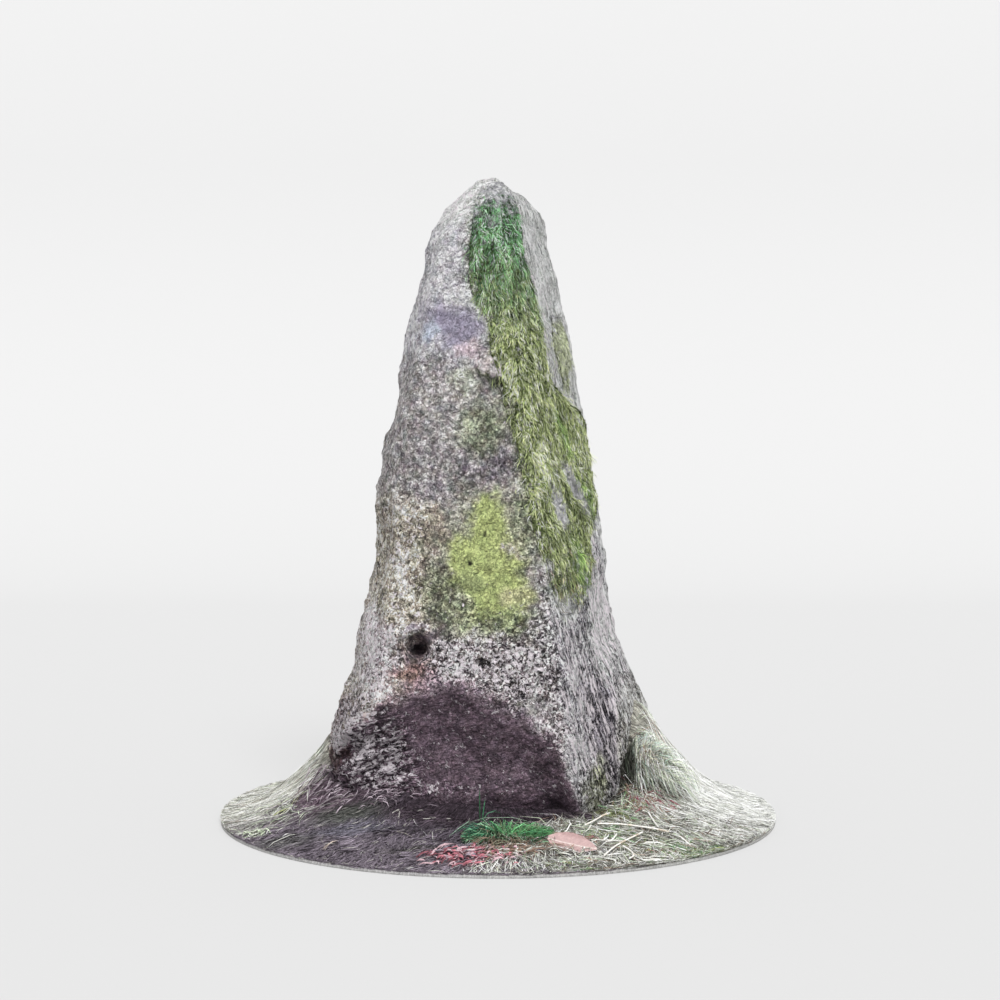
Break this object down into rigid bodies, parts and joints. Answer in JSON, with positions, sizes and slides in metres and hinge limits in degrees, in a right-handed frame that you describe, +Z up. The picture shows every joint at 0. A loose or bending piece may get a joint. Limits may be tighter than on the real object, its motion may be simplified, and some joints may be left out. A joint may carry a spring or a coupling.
{
  "type": "standing stone",
  "caption": "Weathered granite standing stone, broad in front and narrowing to a blunt top, hung with moss on one side and set in a round of banked turf that is cut off flat below.",
  "frame": {"origin": "centre of the flat underside of the round of turf", "axes": "+Z up, -Y towards the broad front face with the hollow at its foot, +X towards the side that the moss hangs down"},
  "size_m": [1.12, 1.12, 1.2885],
  "materials": {
    "granite": "rough, speckled pink-grey and near black, with a yellow-green crust",
    "turf": "rough dark soil under combed dry grass",
    "moss": "matte, hanging strands",
    "grass": "matte blades",
    "leaf": "matte, dry",
    "stalk": "matte, dry"
  },
  "bodies": {
    "root": {"standing_stone": "granite", "turf_round": "turf", "moss_curtain": "moss", "moss_strip": "moss", "grass_tuft_front": "grass", "grass_tuft_right": "grass", "fallen_leaf": "leaf", "dry_stalk_1": "stalk", "dry_stalk_2": "stalk", "dry_stalk_3": "stalk", "dry_stalk_4": "stalk", "dry_stalk_5": "stalk"}
  },
  "joints": []
}
